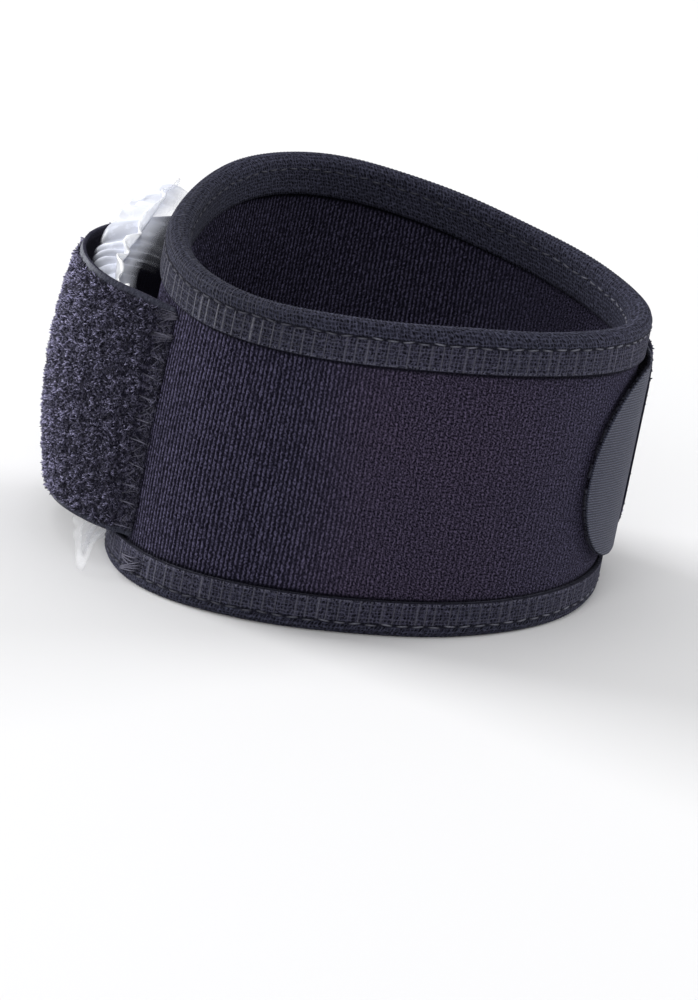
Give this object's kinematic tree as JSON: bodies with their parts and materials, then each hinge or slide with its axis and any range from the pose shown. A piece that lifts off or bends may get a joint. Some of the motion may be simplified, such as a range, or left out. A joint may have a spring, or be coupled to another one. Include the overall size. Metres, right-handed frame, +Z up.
{
  "type": "tennis elbow strap",
  "caption": "Knitted forearm sleeve with bound edges and a loop-pile strap that closes over a clear air pad and fastens with a round hook tab, standing on its lower edge.",
  "frame": {"origin": "middle of the whole strap's width and depth, on the floor that its lower edge stands on", "axes": "+Z up along the arm, +X to the hook tab's side, -X to the air pad, the sewn front faces -Y"},
  "size_m": [0.1137, 0.09, 0.0696],
  "materials": {
    "knit": "dark charcoal rib knit",
    "binding": "slate ribbed elastic tape",
    "pile": "brushed loop pile",
    "hook_tape": "grey woven hook tape",
    "clear_film": "clear glossy welded film"
  },
  "bodies": {
    "root": {"knit_sleeve": "knit", "top_binding": "binding", "bottom_binding": "binding", "pile_strap": "pile", "hook_tab": "hook_tape", "air_pad": "clear_film"}
  },
  "joints": []
}
